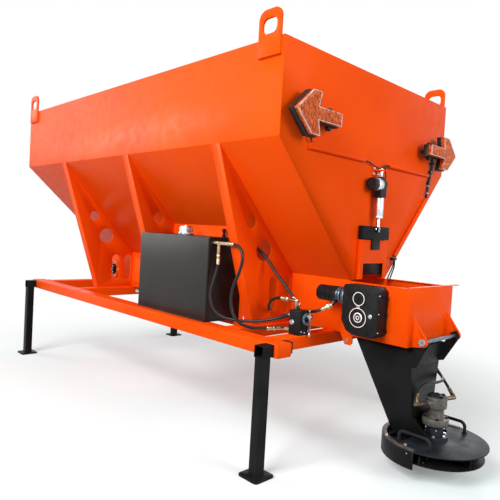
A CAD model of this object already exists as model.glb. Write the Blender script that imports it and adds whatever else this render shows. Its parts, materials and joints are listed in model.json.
# %% [markdown]
# # A truck-bed salt spreader on its storage legs
# Blender never moves those parts. This lesson gives each of them a finish and adds the small pieces
# that make it look real: hoses, unions, bolts, lamps and welds.

# %% Load the steelwork
import json
import math

import bmesh
import bpy
from mathutils import Matrix, Vector


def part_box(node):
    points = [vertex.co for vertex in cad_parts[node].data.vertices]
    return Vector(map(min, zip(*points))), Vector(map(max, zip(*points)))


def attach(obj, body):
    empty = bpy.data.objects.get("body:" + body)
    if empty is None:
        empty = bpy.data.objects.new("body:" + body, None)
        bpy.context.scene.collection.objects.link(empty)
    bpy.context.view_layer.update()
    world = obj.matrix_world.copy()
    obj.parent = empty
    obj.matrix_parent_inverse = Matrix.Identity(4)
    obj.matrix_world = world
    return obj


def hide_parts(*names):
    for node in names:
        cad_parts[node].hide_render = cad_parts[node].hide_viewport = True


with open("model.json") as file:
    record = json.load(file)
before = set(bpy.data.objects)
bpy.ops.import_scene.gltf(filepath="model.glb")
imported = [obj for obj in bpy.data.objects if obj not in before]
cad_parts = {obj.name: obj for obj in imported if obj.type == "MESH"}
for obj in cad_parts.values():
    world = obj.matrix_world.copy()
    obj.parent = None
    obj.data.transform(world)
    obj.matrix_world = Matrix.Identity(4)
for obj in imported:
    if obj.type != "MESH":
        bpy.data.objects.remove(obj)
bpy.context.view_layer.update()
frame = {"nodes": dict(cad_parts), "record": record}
steelwork = frame["nodes"]

# %% [markdown]
# ## Where things are
# Every added piece takes its place from the steelwork, so a few faces are read once and given
# names. The rear wall, the centre of the drive shaft and the spinner's axis are used most. The name
# tells what a value is: a capital name stays the same for the whole lesson.

# %% Name the main places
wall_low, wall_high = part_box("rear_wall")
REAR_WALL_Y = wall_low.y
RIM_Z = wall_high.z
HALF_WIDTH = wall_high.x
disc_low, disc_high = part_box("spinner_disc")
SPINNER = Vector((0.0, (disc_low.y + disc_high.y) / 2, disc_high.z))
pin_low, pin_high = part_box("pivot_pin")
PIVOT = (pin_low + pin_high) / 2
gear_low, gear_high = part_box("gearbox")
hub_low, hub_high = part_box("output_hub")
HUB = (hub_low + hub_high) / 2
DROP_BOX_REAR_Y = REAR_WALL_Y - 0.458
X, Y, Z = Vector((1, 0, 0)), Vector((0, 1, 0)), Vector((0, 0, 1))
LEFT_AND_RIGHT = (-1, 1)
print("rear wall y", round(REAR_WALL_Y, 3), "spinner", tuple(round(c, 3) for c in SPINNER))

# %% [markdown]
# ## The camera
# The machine is seen from its left rear corner, from about eye height, with a normal lens. The
# camera leans very slightly, so its axes are worked out from a heading, a dip and a lean, in
# radians, and not from a target that it tracks, which would always hold it upright.

# %% Place the camera
EYE = Vector((-2.9748, -3.2172, 1.3734))
HEADING, DIP, LEAN = 0.77274, -0.0368, 0.05709
camera_data = bpy.data.cameras.new("yard_camera")
camera_data.sensor_width = 36.0
camera_data.lens = 37.04
camera_data.clip_end = 200.0
camera = bpy.data.objects.new("yard_camera", camera_data)
bpy.context.scene.collection.objects.link(camera)
bpy.context.scene.camera = camera
ahead = Vector((math.cos(DIP) * math.sin(HEADING), math.cos(DIP) * math.cos(HEADING),
                math.sin(DIP)))
level = Vector((math.cos(HEADING), -math.sin(HEADING), 0.0))
upright = level.cross(ahead)
across = math.cos(LEAN) * level + math.sin(LEAN) * upright
above = -math.sin(LEAN) * level + math.cos(LEAN) * upright
camera.matrix_world = Matrix.Translation(EYE) @ Matrix((across, above,
                                                        -ahead)).transposed().to_4x4()
print("camera looks along", tuple(round(c, 3) for c in ahead))

# %% [markdown]
# ## What the camera sees and what lights the machine
# The backdrop should be white, yet white walls all round would flood the machine with light. The
# Light Path node solves this: rays from the camera, and rays that a shiny or clear surface sends
# on, see one shader, and rays that only carry light see another. Floor and backdrop share the same
# small helper.

# %% Tell seeing rays from lighting rays
def seen_directly(nodes, links):
    """1 for camera, glossy and transmission rays, and 0 for rays that only carry light."""
    path = nodes.new("ShaderNodeLightPath")
    value = path.outputs["Is Camera Ray"]
    for ray in ("Is Glossy Ray", "Is Transmission Ray"):
        either = nodes.new("ShaderNodeMath")
        either.operation = "MAXIMUM"
        links.new(value, either.inputs[0])
        links.new(path.outputs[ray], either.inputs[1])
        value = either.outputs["Value"]
    return value


def shader_mix(nodes, links, first, second, share):
    """Mix two shader outputs. The share is a number or another node's output."""
    mix = nodes.new("ShaderNodeMixShader")
    if isinstance(share, float):
        mix.inputs["Fac"].default_value = share
    else:
        links.new(share, mix.inputs["Fac"])
    links.new(first, mix.inputs[1])
    links.new(second, mix.inputs[2])
    return mix.outputs["Shader"]


print("ray helpers ready")

# %% [markdown]
# ## The floor
# A studio floor is pale and plain. Near the machine it is a matt surface that takes a soft shadow,
# with a little lit paper mixed in so that the shadow never gets heavy. Further out it turns into
# the same white as the backdrop, so that no horizon shows: a smooth ramp on the distance from the
# floor's middle, which stays put in every view. Its matt colour leans to blue-green, since the
# orange paint throws a warm light on it. What it throws back up at the machine is a plain grey.

# %% Mix the floor
PAPER_SHARE = 0.20              # how much of the near floor is lit paper
PAPER_LIGHT = 0.95
MATT = (0.86, 0.95, 0.96, 1.0)
BOUNCE = 0.30                   # the grey that light thrown back up comes from
NEAR, FAR = 1.8, 4.0            # where the floor starts and ends its turn to white


def floor_finish():
    """A matt floor near the machine, and plain white further out."""
    material = bpy.data.materials.new("studio_floor")
    material.use_nodes = True
    nodes, links = material.node_tree.nodes, material.node_tree.links
    nodes.clear()
    place = nodes.new("ShaderNodeTexCoord")
    distance = nodes.new("ShaderNodeVectorMath")
    distance.operation = "LENGTH"
    fade = nodes.new("ShaderNodeMapRange")
    fade.interpolation_type = "SMOOTHSTEP"
    fade.inputs["From Min"].default_value = NEAR
    fade.inputs["From Max"].default_value = FAR
    links.new(place.outputs["Object"], distance.inputs[0])
    links.new(distance.outputs["Value"], fade.inputs["Value"])
    matt = nodes.new("ShaderNodeBsdfDiffuse")
    matt.inputs["Color"].default_value = MATT
    paper = nodes.new("ShaderNodeEmission")
    paper.inputs["Strength"].default_value = PAPER_LIGHT
    white = nodes.new("ShaderNodeEmission")
    lit = nodes.new("ShaderNodeBsdfDiffuse")
    lit.inputs["Color"].default_value = (BOUNCE, BOUNCE, BOUNCE, 1.0)
    near = shader_mix(nodes, links, matt.outputs["BSDF"], paper.outputs["Emission"], PAPER_SHARE)
    shown = shader_mix(nodes, links, near, white.outputs["Emission"], fade.outputs["Result"])
    whole = shader_mix(nodes, links, lit.outputs["BSDF"], shown, seen_directly(nodes, links))
    out = nodes.new("ShaderNodeOutputMaterial")
    links.new(whole, out.inputs["Surface"])
    return material


print("floor turns white from", NEAR, "to", FAR)

# %% [markdown]
# The floor is one square of eighty metres, so that its edge is never seen. It is no part of the
# machine and rides on no body, so it is staged instead.

# %% Lay the floor
FLOOR_HALF = 40.0
floor_mesh = bpy.data.meshes.new("studio_floor")
corners = [(-FLOOR_HALF, -FLOOR_HALF, 0), (FLOOR_HALF, -FLOOR_HALF, 0),
           (FLOOR_HALF, FLOOR_HALF, 0), (-FLOOR_HALF, FLOOR_HALF, 0)]
floor_mesh.from_pydata(corners, [], [(0, 1, 2, 3)])
floor = bpy.data.objects.new("studio_floor", floor_mesh)
bpy.context.scene.collection.objects.link(floor)
floor.data.materials.append(floor_finish())
print("floor half width", FLOOR_HALF)

# %% [markdown]
# ## The light
# The world gives a low, even fill and shows as pure white. It tells the same two kinds of ray apart
# as the floor does: rays that see it directly find the white backdrop, the others find the fill.

# %% Hang the backdrop
FILL_LIGHT = 0.25
BACKDROP_LIGHT = 1.0            # a strength of 1 shows as white
world = bpy.data.worlds.new("studio")
bpy.context.scene.world = world
world.use_nodes = True
sky, sky_links = world.node_tree.nodes, world.node_tree.links
sky.clear()
fill = sky.new("ShaderNodeBackground")
backdrop = sky.new("ShaderNodeBackground")
for light, strength in ((fill, FILL_LIGHT), (backdrop, BACKDROP_LIGHT)):
    light.inputs["Color"].default_value = (1.0, 1.0, 1.0, 1.0)
    light.inputs["Strength"].default_value = strength
both = shader_mix(sky, sky_links, fill.outputs["Background"], backdrop.outputs["Background"],
                  seen_directly(sky, sky_links))
world_out = sky.new("ShaderNodeOutputWorld")
sky_links.new(both, world_out.inputs["Surface"])
bpy.context.scene.view_settings.view_transform = "Standard"
print("fill", FILL_LIGHT, "backdrop", BACKDROP_LIGHT)

# %% [markdown]
# Four square area lamps, called soft boxes, do the rest: a strong one on the left side, which is
# the side in view, a weaker one behind, and two that keep the front and the right side from going
# dark. Large lamps give the soft shadows of a studio.

# %% Light the studio
def soft_box(name, place, aim, size, power):
    """A square area lamp that points at a place: size in metres, power in watts."""
    data = bpy.data.lights.new(name, "AREA")
    data.size = size
    data.energy = power
    lamp = bpy.data.objects.new(name, data)
    bpy.context.scene.collection.objects.link(lamp)
    lamp.location = place
    lamp.rotation_euler = (Vector(aim) - Vector(place)).to_track_quat("-Z", "Y").to_euler()


soft_box("side_soft_box", (-7.5, -1.5, 5.5), (0, 0.2, 1.4), 4.5, 840)
soft_box("rear_soft_box", (1.0, -8.0, 3.4), (0, -1.0, 1.3), 3.5, 320)
soft_box("front_soft_box", (-4.5, 8.5, 4.5), (0, 1.5, 1.6), 3.5, 230)
soft_box("right_soft_box", (7.5, 1.5, 5.0), (0, 0.2, 1.4), 4.0, 240)

# %% [markdown]
# ## Finishes
# Every finish starts from one Principled shader. A flat colour would look like plastic foil, so
# each finish gets at least a slow change of tone or a grain in its roughness.

# %% Make a plain finish
def finish(name, color, roughness, metallic=0.0, coat=0.0, coat_roughness=0.08, gloss=0.2):
    """A Principled material with even values."""
    material = bpy.data.materials.new(name)
    material.use_nodes = True
    shader = material.node_tree.nodes["Principled BSDF"]
    shader.inputs["Base Color"].default_value = (*color, 1.0)
    shader.inputs["Roughness"].default_value = roughness
    shader.inputs["Metallic"].default_value = metallic
    shader.inputs["Specular IOR Level"].default_value = gloss
    shader.inputs["Coat Weight"].default_value = coat
    shader.inputs["Coat Roughness"].default_value = coat_roughness
    return material


def sheen_color(material, color):
    """Colour the mirror-like part of the reflection."""
    shader = material.node_tree.nodes["Principled BSDF"]
    shader.inputs["Specular Tint"].default_value = (*color, 1.0)


print("plain finishes ready")

# %% [markdown]
# ### Grain
# Three helpers lay a noise over the colour, the roughness or the relief. Their last values are the
# noise's own: its scale, its detail and its stretch. The noise runs in the piece's own coordinates,
# in metres, so that grain keeps its real size on every part: a scale of 100 makes patches about a
# centimetre across.

# %% Make the grain helpers
def noise(material, scale, detail=4.0, stretch=(1, 1, 1)):
    """A noise pattern in the piece's own metres."""
    nodes, links = material.node_tree.nodes, material.node_tree.links
    place = nodes.new("ShaderNodeTexCoord")
    mapping = nodes.new("ShaderNodeMapping")
    mapping.inputs["Scale"].default_value = stretch
    pattern = nodes.new("ShaderNodeTexNoise")
    pattern.inputs["Scale"].default_value = scale
    pattern.inputs["Detail"].default_value = detail
    links.new(place.outputs["Object"], mapping.inputs["Vector"])
    links.new(mapping.outputs["Vector"], pattern.inputs["Vector"])
    return pattern.outputs["Fac"]


def spread(material, low, high, *grain):
    """Let a noise move the roughness between two values."""
    nodes, links = material.node_tree.nodes, material.node_tree.links
    span = nodes.new("ShaderNodeMapRange")
    span.inputs["From Min"].default_value = 0.3
    span.inputs["From Max"].default_value = 0.7
    span.inputs["To Min"].default_value = low
    span.inputs["To Max"].default_value = high
    links.new(noise(material, *grain), span.inputs["Value"])
    links.new(span.outputs["Result"], nodes["Principled BSDF"].inputs["Roughness"])


def tint(material, dark, light, *grain):
    """Let a noise move the base colour between two tones."""
    nodes, links = material.node_tree.nodes, material.node_tree.links
    ramp = nodes.new("ShaderNodeValToRGB")
    for element, position, tone in zip(ramp.color_ramp.elements, (0.35, 0.65), (dark, light)):
        element.position = position
        element.color = (*tone, 1.0)
    links.new(noise(material, *grain), ramp.inputs["Fac"])
    links.new(ramp.outputs["Color"], nodes["Principled BSDF"].inputs["Base Color"])


def relief(material, depth, strength, *grain, coat_too=False):
    """Raise a noise as a bump of a depth in metres."""
    nodes, links = material.node_tree.nodes, material.node_tree.links
    bump = nodes.new("ShaderNodeBump")
    bump.inputs["Strength"].default_value = strength
    bump.inputs["Distance"].default_value = depth
    links.new(noise(material, *grain), bump.inputs["Height"])
    for socket in ("Normal", "Coat Normal") if coat_too else ("Normal",):
        links.new(bump.outputs["Normal"], nodes["Principled BSDF"].inputs[socket])


print("grain helpers ready")

# %% [markdown]
# ### Orange paint
# Powder coat on sheet steel: a strong orange with a calm, slightly wavy gloss. The waviness, called
# orange peel, is a shallow relief about a centimetre across. Large soft noise gives the slight
# change of tone that big sheets have. The reflection is tinted warm, because white sky on a
# saturated orange would otherwise turn it pink.

# %% Mix the orange
orange = finish("spreader_orange", (0.86, 0.074, 0.002), 0.40, coat=0.01, coat_roughness=0.12,
                gloss=0.10)
sheen_color(orange, (1.0, 0.52, 0.22))
tint(orange, (0.83, 0.067, 0.001), (0.89, 0.082, 0.003), 1.6, 2.0)
spread(orange, 0.36, 0.50, 14.0)
relief(orange, 0.0006, 0.10, 90.0, 2.0, coat_too=True)
print("orange ready")

# %% [markdown]
# ### Blacks
# The legs and the chute are satin black paint, motors and gearbox are painted castings with a
# pebbled skin, the tank is smooth, and the hoses are fine-grained rubber. They are all nearly the
# same black: what tells them apart is how rough they are and how large their grain is.

# %% Mix the blacks
black_paint = finish("satin_black_paint", (0.007, 0.007, 0.0075), 0.36, coat=0.01,
                     coat_roughness=0.2, gloss=0.07)
tint(black_paint, (0.005, 0.005, 0.0055), (0.011, 0.011, 0.0115), 5.0)
spread(black_paint, 0.30, 0.46, 30.0)
relief(black_paint, 0.0004, 0.12, 160.0, 2.0)

black_casting = finish("black_casting", (0.009, 0.009, 0.010), 0.45, gloss=0.12)
tint(black_casting, (0.006, 0.006, 0.0065), (0.014, 0.0135, 0.014), 40.0)
spread(black_casting, 0.36, 0.58, 60.0)
relief(black_casting, 0.0009, 0.35, 260.0, 3.0)

tank_black = finish("tank_black", (0.018, 0.018, 0.020), 0.42, coat=0.02, coat_roughness=0.2,
                    gloss=0.22)
sheen_color(tank_black, (1.0, 0.96, 0.88))
tint(tank_black, (0.011, 0.011, 0.011), (0.020, 0.019, 0.018), 2.4)
spread(tank_black, 0.38, 0.46, 22.0)
relief(tank_black, 0.002, 0.10, 3.0, 1.0)

hose_rubber = finish("hose_rubber", (0.010, 0.010, 0.011), 0.36, gloss=0.28)
tint(hose_rubber, (0.007, 0.007, 0.0075), (0.015, 0.015, 0.016), 60.0)
relief(hose_rubber, 0.0005, 0.25, 420.0, 2.0)
print("blacks ready")

# %% [markdown]
# ### Worn black on the spinner
# Salt and handling wear the cover plate at the spinner: its black is bluish and cloudy. The rolled
# rim of the skirt has lost its paint and is brown, and the motor is a bare grey-brown casting.

# %% Mix the spinner's finishes
cover_black = finish("cover_black", (0.008, 0.010, 0.013), 0.40, gloss=0.10)
tint(cover_black, (0.006, 0.007, 0.009), (0.018, 0.022, 0.028), 7.0)
spread(cover_black, 0.32, 0.52, 12.0)
relief(cover_black, 0.0012, 0.12, 9.0, 2.0)

worn_rim = finish("worn_rim", (0.075, 0.062, 0.055), 0.42, gloss=0.4)
tint(worn_rim, (0.045, 0.038, 0.034), (0.120, 0.100, 0.085), 35.0)
spread(worn_rim, 0.32, 0.52, 50.0)

motor_casting = finish("motor_casting", (0.085, 0.077, 0.068), 0.46, gloss=0.4)
tint(motor_casting, (0.055, 0.050, 0.044), (0.115, 0.105, 0.092), 55.0)
relief(motor_casting, 0.0008, 0.3, 240.0, 3.0)
print("spinner finishes ready")

# %% [markdown]
# ### Bright metal
# A metal shows mostly what it reflects, so its look is in the roughness: fine streaks along turned
# steel, a soft cloud on cast aluminium, and small spots on the yellow zinc of hose unions.

# %% Mix the bright metals
bright_steel = finish("bright_steel", (0.62, 0.63, 0.66), 0.24, metallic=1.0)
tint(bright_steel, (0.50, 0.51, 0.53), (0.72, 0.73, 0.76), 25.0)
spread(bright_steel, 0.18, 0.34, 90.0, 3.0, (1, 1, 14))

pale_steel = finish("pale_steel", (0.84, 0.82, 0.79), 0.5, metallic=1.0)
spread(pale_steel, 0.42, 0.60, 220.0)

actuator_alloy = finish("actuator_alloy", (0.66, 0.67, 0.70), 0.34, metallic=1.0)
spread(actuator_alloy, 0.28, 0.42, 50.0)
tint(actuator_alloy, (0.60, 0.61, 0.64), (0.74, 0.75, 0.78), 12.0)

yellow_plating = finish("yellow_plating", (0.50, 0.43, 0.32), 0.30, metallic=1.0)
tint(yellow_plating, (0.36, 0.27, 0.16), (0.60, 0.50, 0.35), 70.0)
spread(yellow_plating, 0.22, 0.38, 120.0)
print("bright metals ready")

# %% [markdown]
# ### Worn metal
# Weather dulls the rest. The conveyor is brown-grey from salt, the hub and the brass unions are
# stained, the motor's flange keeps a blue-grey primer, and the long pivot pin is blued.

# %% Mix the worn metals
conveyor_steel = finish("conveyor_steel", (0.26, 0.25, 0.24), 0.5, metallic=1.0)
tint(conveyor_steel, (0.20, 0.175, 0.155), (0.31, 0.30, 0.29), 11.0)
spread(conveyor_steel, 0.46, 0.62, 60.0)
relief(conveyor_steel, 0.0008, 0.25, 150.0)

worn_hub = finish("worn_hub", (0.55, 0.51, 0.47), 0.34, metallic=1.0)
tint(worn_hub, (0.34, 0.30, 0.26), (0.70, 0.67, 0.63), 140.0)
spread(worn_hub, 0.26, 0.48, 200.0)

dull_steel = finish("dull_steel", (0.34, 0.34, 0.35), 0.4, metallic=1.0)
tint(dull_steel, (0.22, 0.21, 0.20), (0.46, 0.45, 0.44), 90.0)

dull_brass = finish("dull_brass", (0.15, 0.115, 0.08), 0.42, metallic=1.0)
tint(dull_brass, (0.05, 0.040, 0.030), (0.16, 0.115, 0.070), 120.0)

blued_steel = finish("blued_steel", (0.28, 0.34, 0.40), 0.32, metallic=1.0)
tint(blued_steel, (0.11, 0.14, 0.17), (0.24, 0.29, 0.34), 40.0)

blue_grey = finish("blue_grey_flange", (0.14, 0.19, 0.25), 0.34, metallic=0.75)
tint(blue_grey, (0.09, 0.13, 0.18), (0.20, 0.26, 0.33), 60.0)
print("worn metals ready")

# %% [markdown]
# ### Lamp amber
# The arrow lamps are amber plastic over a dark inside, so the tone runs from deep red to bright
# orange in fine upright streaks: the noise is stretched along Z. The prisms that break up the light
# are real geometry, made further on. The edge of the lens has faded to a pale pink-brown.

# %% Mix the lamp finishes
amber = finish("lamp_amber", (0.55, 0.09, 0.015), 0.34, coat=0.10, coat_roughness=0.10)
tint(amber, (0.24, 0.020, 0.004), (0.86, 0.19, 0.035), 130.0, 4.0, (1.0, 1.0, 0.3))

pale_rim = finish("lamp_rim", (0.66, 0.46, 0.40), 0.35, coat=0.3)
tint(pale_rim, (0.50, 0.20, 0.12), (0.80, 0.70, 0.68), 38.0)

lamp_black = finish("lamp_black", (0.015, 0.015, 0.016), 0.42)
spread(lamp_black, 0.36, 0.5, 80.0)
relief(lamp_black, 0.0004, 0.2, 300.0)
print("lamp finishes ready")

# %% [markdown]
# ## Paint the steelwork
# The record names a material slot for every part, so one small table from slot to finish paints
# them all, and a second one names the few parts that differ from the rest of their slot. Weld and
# bevel modifiers round the edges a little, as a folded or cut edge is never perfectly sharp and
# always catches a thin line of light. A modifier leaves the mesh of the CAD part as it was.

# %% Paint the steelwork
SLOT_FINISH = {"orange_paint": orange, "black_paint": black_paint, "cast_housing": black_casting,
               "worn_steel": conveyor_steel, "bright_steel": bright_steel,
               "cast_aluminium": actuator_alloy, "yellow_zinc": yellow_plating,
               "black_plastic": tank_black, "amber_lens": amber, "hose_rubber": hose_rubber}
PART_FINISH = {"lamp_housings": lamp_black, "lamp_conduit": lamp_black,
               "actuator_motor": lamp_black, "spinner_motor": motor_casting, "output_hub": worn_hub,
               "spinner_fittings": dull_brass, "cover_plate": cover_black, "handles": cover_black,
               "pivot_pin": blued_steel}
EDGE_WIDTH = 0.0012


def soften(piece, width):
    """Join split corners, round the edges by a small width and smooth the shading."""
    joined = piece.modifiers.new("weld", "WELD")
    joined.merge_threshold = 0.00005
    bevel = piece.modifiers.new("edge", "BEVEL")
    bevel.width = width
    bevel.segments = 2
    bevel.limit_method = "ANGLE"
    bevel.angle_limit = math.radians(32)
    bevel.harden_normals = True
    for polygon in piece.data.polygons:
        polygon.use_smooth = True


for entry in frame["record"]["subparts"]:
    part = steelwork[entry["node"]]
    part.data.materials.clear()
    part.data.materials.append(PART_FINISH.get(entry["node"], SLOT_FINISH[entry["material_slot"]]))
    soften(part, EDGE_WIDTH)
print("painted", len(steelwork))

# %% [markdown]
# ## Hoses and cables
# A hydraulic hose is stiff: it leaves its union in a straight line and springs into one smooth
# curve to the next. Each one is a NURBS curve through the neighbourhood of a few chosen points,
# with a round bevel for its thickness, which is how Blender draws a line that bends evenly. The
# points are given in millimetres from the rear wall: sideways, forward and up. First come the hoses
# on the frame.

# %% Route the hoses on the frame
HOSE_D = 0.020
HOSE_RETURN = [(-766, 656, 1186.7), (-766, 656, 1120), (-785, 671, 1030), (-797, 684, 950),
               (-796, 672, 884), (-783, 638, 833), (-757, 592, 803), (-718, 528, 792),
               (-672, 448, 792), (-622, 358, 806), (-575, 275, 832), (-548, 223, 858)]
HOSE_LOOP = [(-766, 555.7, 1283), (-766, 505, 1283), (-768, 459, 1271.5), (-770, 426, 1239),
             (-772.5, 414, 1192), (-780, 434, 1108), (-787, 468, 1035), (-790, 486, 965),
             (-788, 484, 890), (-778, 462, 824), (-752, 420, 784), (-712, 372, 768),
             (-662, 346, 765), (-612, 326, 765), (-573, 311, 765)]
HOSE_SUPPLY = [(-530, 687, 1285), (-530, 615, 1285), (-514, 525, 1248), (-504, 445, 1180),
               (-500, 370, 1100), (-493, 303, 1038), (-488, 245, 984), (-487, 195, 938)]
HOSE_FEED = [(-334, 1496, 888), (-336, 1420, 886), (-352, 1310, 872), (-378, 1180, 858),
             (-398, 1045, 850), (-392, 845, 843), (-374, 715, 842), (-366, 615, 842),
             (-384, 530, 845), (-428, 479, 849), (-473, 447, 860), (-505, 423, 892),
             (-518, 389, 933), (-521, 330, 957), (-524, 255, 957)]
HOSE_MOTOR = [(-447, 155, 884), (-449, 100, 893), (-446, 50, 908), (-412, 15, 934)]
print("points in the longest route:", len(HOSE_LOOP))

# %% [markdown]
# Two thinner hoses feed the spinner's motor. They are fixed to the chute, so that they swing up
# with it.

# %% Route the hoses on the chute
SPINNER_HOSE_D = 0.018
HOSE_SPIN_RIGHT = [(246, -369, 654.7), (246, -369, 605), (241, -394, 560), (226, -432, 530),
                   (202, -474, 500), (176, -516, 470), (152, -555, 438)]
HOSE_SPIN_LEFT = [(212, -369, 654.7), (212, -369, 603), (214, -400, 560), (207, -440, 532),
                  (182, -474, 519), (145, -494, 512), (90, -496, 511), (30, -488, 513),
                  (-30, -478, 516), (-86, -474, 507), (-126, -475, 477), (-148, -476, 432)]
print("spinner hose diameter", SPINNER_HOSE_D)

# %% [markdown]
# The electric cables are thin and softer. One droops between the ends of the two conduits on the
# rear wall, one feeds the gate's motor, and two run down from the wall to the trough's right side.

# %% Route the cables
CABLE_D = 0.009
CABLE_MAIN = [(-150, -12.3, 1868), (-105, -12.3, 1868), (-62, -14, 1855), (-18, -17, 1841),
              (30, -17, 1838), (72, -14, 1850), (106, -12.3, 1872.8), (150, -12.3, 1872.8)]
CABLE_ACTUATOR = [(150, -12.3, 1861.5), (120, -12.3, 1861.5), (97, -15, 1848), (84, -23, 1823),
                  (74, -36, 1795), (60, -47, 1774), (37.5, -50, 1766)]
CABLE_LOW_A = [(288, -20, 1226), (289, -20, 1200), (303, -11, 1174), (314, 6, 1142),
               (315, 20, 1098), (303, 34, 1050), (280, 44, 1014), (244, 50, 996), (205.3, 52, 992)]
CABLE_LOW_B = [(274, -20, 1226), (275, -20, 1203), (289, -8, 1178), (291, 14, 1130),
               (283, 26, 1086), (268, 36, 1052), (242, 44, 1036), (205.3, 46, 1034)]
print("cable diameter", CABLE_D)

# %% [markdown]
# A route becomes a line in two steps: its points are turned into metres, and then a curve of order
# 3 passes near them. Low order keeps the curve close to the points, so the hose stays where it was
# drawn.

# %% Make the line helpers
def placed(point):
    """A route point in metres."""
    x, forward, z = point
    return Vector((x / 1000, REAR_WALL_Y + forward / 1000, z / 1000))


def run_line(name, points, diameter, material, body):
    """A smooth round line along chosen points."""
    curve = bpy.data.curves.new(name, "CURVE")
    curve.dimensions = "3D"
    spline = curve.splines.new("NURBS")
    spline.points.add(len(points) - 1)
    for point, place in zip(spline.points, points):
        point.co = (*place, 1.0)
    spline.order_u = 3
    spline.use_endpoint_u = True
    spline.resolution_u = 10
    curve.bevel_depth = diameter / 2
    curve.bevel_resolution = 6
    curve.use_fill_caps = True
    curve.materials.append(material)
    line = bpy.data.objects.new(name, curve)
    bpy.context.scene.collection.objects.link(line)
    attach(line, body)
    return line


print("line helpers ready")

# %% [markdown]
# Each line is laid with its real length, its thickness and how it hangs. It takes the place of the
# plain tube of the steel model, and starts and ends in the same unions.

# %% Lay the hoses and cables
CORDS = {"hose_return": (HOSE_RETURN, 0.863, HOSE_D, "frame", "hanging"),
         "hose_loop": (HOSE_LOOP, 0.851, HOSE_D, "frame", "hanging"),
         "hose_supply": (HOSE_SUPPLY, 0.623, HOSE_D, "frame", "hanging"),
         "hose_feed": (HOSE_FEED, 1.339, HOSE_D, "frame", "hanging"),
         "hose_motor": (HOSE_MOTOR, 0.161, HOSE_D, "frame", "taut"),
         "hose_spinner_left": (HOSE_SPIN_LEFT, 0.568, SPINNER_HOSE_D, "chute", "hanging"),
         "hose_spinner_right": (HOSE_SPIN_RIGHT, 0.321, SPINNER_HOSE_D, "chute", "hanging"),
         "cable_main": (CABLE_MAIN, 0.311, CABLE_D, "frame", "hanging"),
         "cable_actuator": (CABLE_ACTUATOR, 0.168, CABLE_D, "frame", "hanging"),
         "cable_low_a": (CABLE_LOW_A, 0.313, CABLE_D, "frame", "hanging"),
         "cable_low_b": (CABLE_LOW_B, 0.257, CABLE_D, "frame", "hanging")}
for node, (route, length, diameter, body, lay) in CORDS.items():
    line = run_line("rubber_" + node, [placed(p) for p in route], diameter, hose_rubber, body)
    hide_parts(node)
print("hoses and cables:", len(CORDS))

# %% [markdown]
# ## Making and shading a piece
# A small part is first built in a bmesh, which is Blender's workbench for loose corners and faces,
# and then turned into an object once. The object is told which body it rides on, so that it moves
# with the machine, and which material slot it belongs to. Smooth shading stops at edges sharper
# than an angle, which keeps a nut's corners crisp and its round parts round.

# %% Make the piece helpers
def new_piece(name, mesh, material, body):
    """Turn a bmesh into a piece that rides on a body."""
    data = bpy.data.meshes.new(name)
    bmesh.ops.recalc_face_normals(mesh, faces=mesh.faces)
    mesh.to_mesh(data)
    mesh.free()
    data.materials.append(material)
    piece = bpy.data.objects.new(name, data)
    bpy.context.scene.collection.objects.link(piece)
    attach(piece, body)
    return piece


def smooth(piece, angle=40):
    """Smooth shading that keeps edges sharper than an angle in degrees."""
    for polygon in piece.data.polygons:
        polygon.use_smooth = True
    piece.data.set_sharp_from_angle(angle=math.radians(angle))


def strip(mesh, rows, closed=False):
    """Join rows of corners with four-sided faces. A closed strip also joins each row's two ends."""
    for a, b in zip(rows, rows[1:]):
        for k in range(len(a) if closed else len(a) - 1):
            j = (k + 1) % len(a)
            mesh.faces.new((a[k], a[j], b[j], b[k]))


print("piece helpers ready")

# %% [markdown]
# ## Turned parts
# Most hardware is round or six-sided, so one function does what a lathe does: it turns a profile, a
# list of (radius, height) pairs, about an axis. Six steps round give a hexagon for nuts and bolt
# heads, more steps give a ring, a plug or a ferrule. Bolts often sit on a circle, which has a
# helper too.

# %% Make the lathe
def frame_about(axis):
    """An axis of length one, and two directions square to it."""
    axis = Vector(axis).normalized()
    side = axis.orthogonal().normalized()
    return axis, side, axis.cross(side)


def turn_profile(mesh, place, axis, profile, steps=20, start=0.0):
    """Turn (radius, height) pairs about an axis through a place."""
    axis, u, v = frame_about(axis)
    rings = []
    for radius, height in profile:
        centre = Vector(place) + axis * height
        if radius < 1e-6:
            rings.append([mesh.verts.new(centre)])
            continue
        angles = [start + 2 * math.pi * i / steps for i in range(steps)]
        rings.append([mesh.verts.new(centre + (u * math.cos(a) + v * math.sin(a)) * radius)
                      for a in angles])
    for low, high in zip(rings, rings[1:]):
        for i in range(steps):
            j = (i + 1) % steps
            if len(low) == 1 and len(high) > 1:
                mesh.faces.new((low[0], high[j], high[i]))
            elif len(high) == 1 and len(low) > 1:
                mesh.faces.new((low[i], low[j], high[0]))
            elif len(low) > 1:
                mesh.faces.new((low[i], low[j], high[j], high[i]))


def circle_of(count, radius, start=0.0):
    """Pairs of offsets, spread evenly round a circle."""
    angles = [start + 2 * math.pi * i / count for i in range(count)]
    return [(radius * math.cos(a), radius * math.sin(a)) for a in angles]


print("lathe ready")

# %% [markdown]
# ## Bolts and screws
# A bolt head is a hexagon with chamfered corners, on a washer. A cap screw is a round head with a
# socket. Both take a thread size and work out the rest from it, as the real ones do.

# %% Make the bolts
def hex_bolt(mesh, place, axis, size, washer=True):
    """Chamfered hexagon head on a washer, for a thread size in metres."""
    rise = 0.0
    if washer:
        rise = size * 0.18
        turn_profile(mesh, place, axis, [(0, 0), (size * 1.05, 0), (size * 1.05, rise * 0.8),
                                         (size * 0.98, rise), (0, rise)], 18)
    r, h = size * 0.86, size * 0.62
    turn_profile(mesh, Vector(place) + Vector(axis).normalized() * rise, axis,
                 [(0, 0), (r, 0), (r, h * 0.82), (r * 0.86, h), (0, h)], 6, 0.3)


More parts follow.
